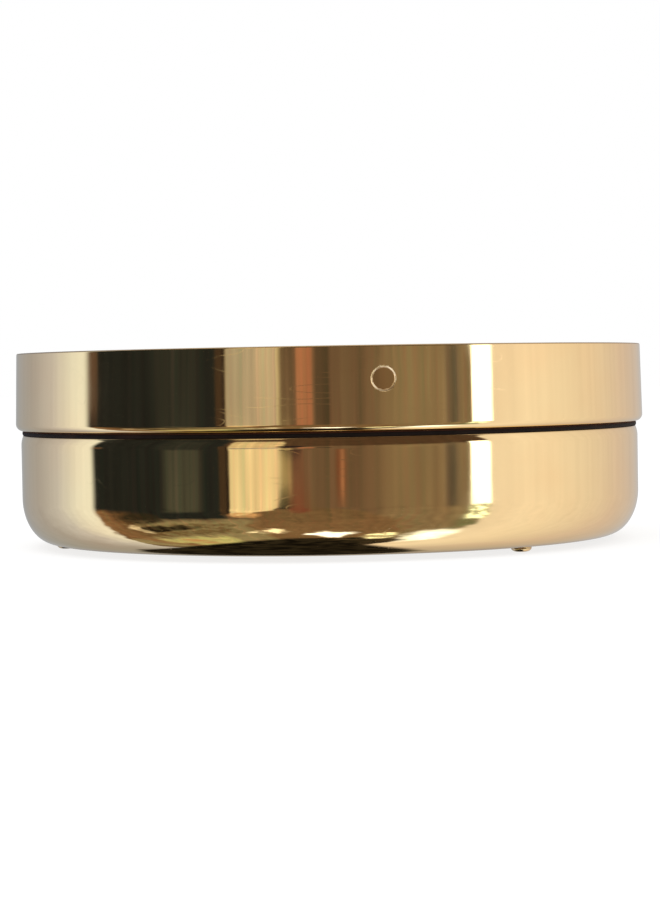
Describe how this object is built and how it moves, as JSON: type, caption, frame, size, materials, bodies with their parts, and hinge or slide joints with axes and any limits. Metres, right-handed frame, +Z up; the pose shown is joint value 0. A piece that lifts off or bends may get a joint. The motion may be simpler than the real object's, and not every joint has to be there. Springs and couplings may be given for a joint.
{
  "type": "offering plate",
  "caption": "Deep round brass offering plate: spun bowl on button feet, bayonet-locked rim collar on a leather washer, and a loose felt coin pad inside.",
  "frame": {"origin": "on the surface the plate stands on, under the centre of the bowl", "axes": "+Z up along the plate's axis; -Y is the front, with one stud 9 degrees to the right of it"},
  "size_m": [0.254, 0.254, 0.0782],
  "materials": {
    "polished_brass": "mirror-polished spun brass",
    "turned_brass": "fine-turned brass, not polished",
    "stud_brass": "filed and polished brass rod",
    "dark_leather": "dark dyed leather, edge burnished",
    "grey_board": "grey paper board",
    "red_felt": "wool felt"
  },
  "bodies": {
    "bowl": {"bowl_shell": "polished_brass", "neck_ring": "turned_brass", "button_foot_1": "stud_brass", "button_foot_2": "stud_brass", "button_foot_3": "stud_brass"},
    "washer": {"seam_washer": "dark_leather"},
    "collar": {"collar_band": "polished_brass", "rim_plate": "polished_brass", "bayonet_stud_1": "stud_brass", "bayonet_stud_2": "stud_brass", "bayonet_stud_3": "stud_brass"},
    "coin_pad": {"pad_board": "grey_board", "pad_cover": "red_felt"}
  },
  "joints": [
    {"name": "collar_turn", "type": "hinge", "parent": "bowl", "child": "washer", "pos_m": [0, 0, 0.0454], "axis": [0, 0, 1], "range_deg": [-12, 0]},
    {"name": "collar_lift", "type": "slide", "parent": "washer", "child": "collar", "axis": [0, 0, 1], "range_m": [0, 0.06]},
    {"name": "pad_lift", "type": "slide", "parent": "bowl", "child": "coin_pad", "axis": [0, 0, 1], "range_m": [0, 0.1]}
  ]
}
